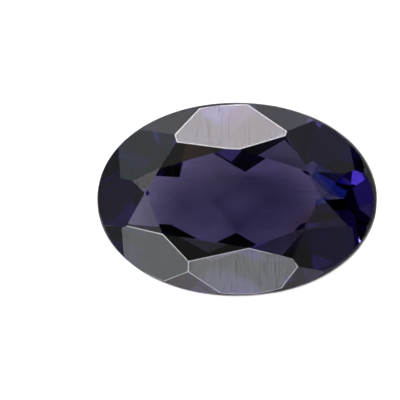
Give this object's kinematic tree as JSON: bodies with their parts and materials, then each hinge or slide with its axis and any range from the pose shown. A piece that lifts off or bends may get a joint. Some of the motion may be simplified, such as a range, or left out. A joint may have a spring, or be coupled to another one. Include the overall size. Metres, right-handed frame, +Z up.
{
  "type": "faceted iolite gemstone",
  "caption": "Loose oval faceted gemstone, transparent violet-blue, resting table up on the flat facet beside its keel.",
  "frame": {"origin": "centre of the stone's bounding box in plan, on the surface that it rests on", "axes": "+X along the stone's length, +Z up from the surface that it rests on, and the table leans very slightly towards -Y"},
  "size_m": [0.0064, 0.0044, 0.0028],
  "materials": {
    "iolite": "polished, transparent violet-blue, with a finely ground girdle"
  },
  "bodies": {
    "root": {"iolite_stone": "iolite"}
  },
  "joints": []
}
